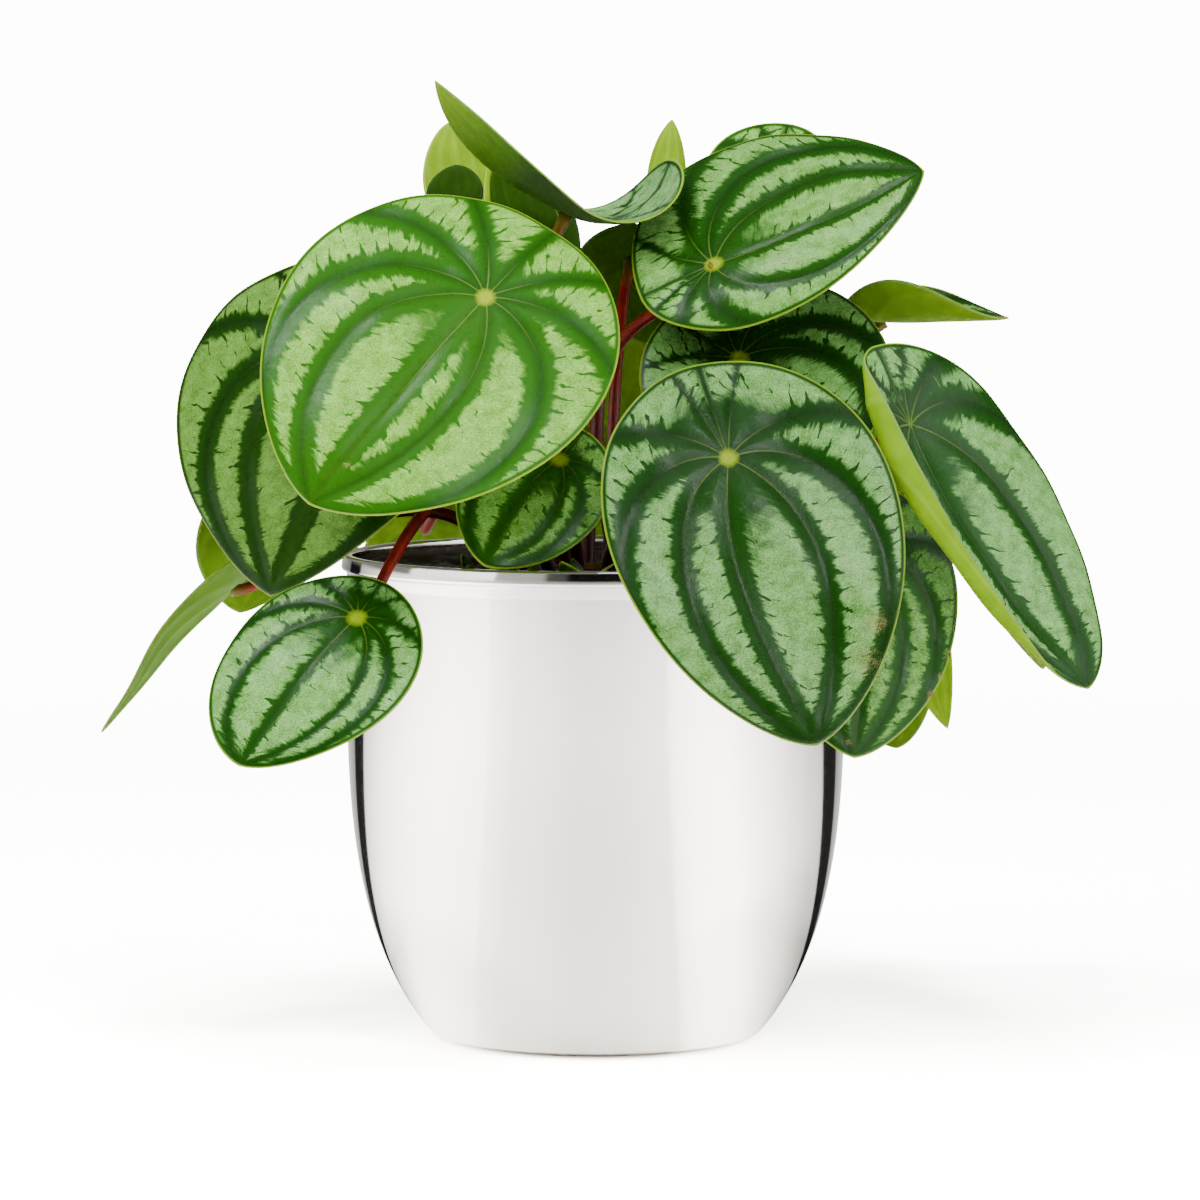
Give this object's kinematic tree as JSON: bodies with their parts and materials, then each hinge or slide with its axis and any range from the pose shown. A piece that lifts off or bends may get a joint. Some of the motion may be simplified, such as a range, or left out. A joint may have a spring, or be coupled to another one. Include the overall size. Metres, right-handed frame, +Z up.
{
  "type": "potted peperomia",
  "caption": "Watermelon peperomia with silver-striped leaves on red stalks, growing in soil in a polished steel pot",
  "frame": {"origin": "centre of the pot's flat underside, where the pot's axis meets the surface it stands on", "axes": "+Z up along the pot's axis, -Y towards the plant's showing side, +X to the right seen from there"},
  "size_m": [0.278, 0.208, 0.2702],
  "materials": {
    "steel": "polished",
    "soil": "crumbly, matt",
    "stalk": "smooth, fleshy",
    "leaf": "glossy, striped silver and dark green",
    "shoot": "satin"
  },
  "bodies": {
    "root": {"pot": "steel", "soil": "soil", "crown_and_stalks": "stalk", "leaf_front_left": "leaf", "leaf_left": "leaf", "leaf_low_left": "leaf", "leaf_far_left": "leaf", "leaf_left_underside": "leaf", "leaf_centre_small": "leaf", "leaf_upper_right": "leaf", "leaf_front_right": "leaf", "leaf_shaded_right": "leaf", "leaf_right_folded": "leaf", "leaf_low_right": "leaf", "leaf_low_right_back": "leaf", "leaf_right_back": "leaf", "leaf_top_right_back": "leaf", "leaf_upright_back": "leaf", "leaf_top_trough": "leaf", "leaf_top_left_back": "leaf", "leaf_top_left_arch": "leaf", "leaf_top_left_inner": "leaf", "leaf_top_left_dark": "leaf", "leaf_dark_centre": "leaf", "leaf_back_top": "leaf", "leaf_back_left": "leaf", "leaf_back_right": "leaf", "leaf_back_middle": "leaf", "leaf_back_low_left": "leaf", "leaf_back_low_right": "leaf", "leaf_right_low": "leaf", "leaf_left_high": "leaf", "young_shoot_left": "shoot", "young_shoot_middle": "shoot", "young_shoot_right": "shoot"}
  },
  "joints": []
}
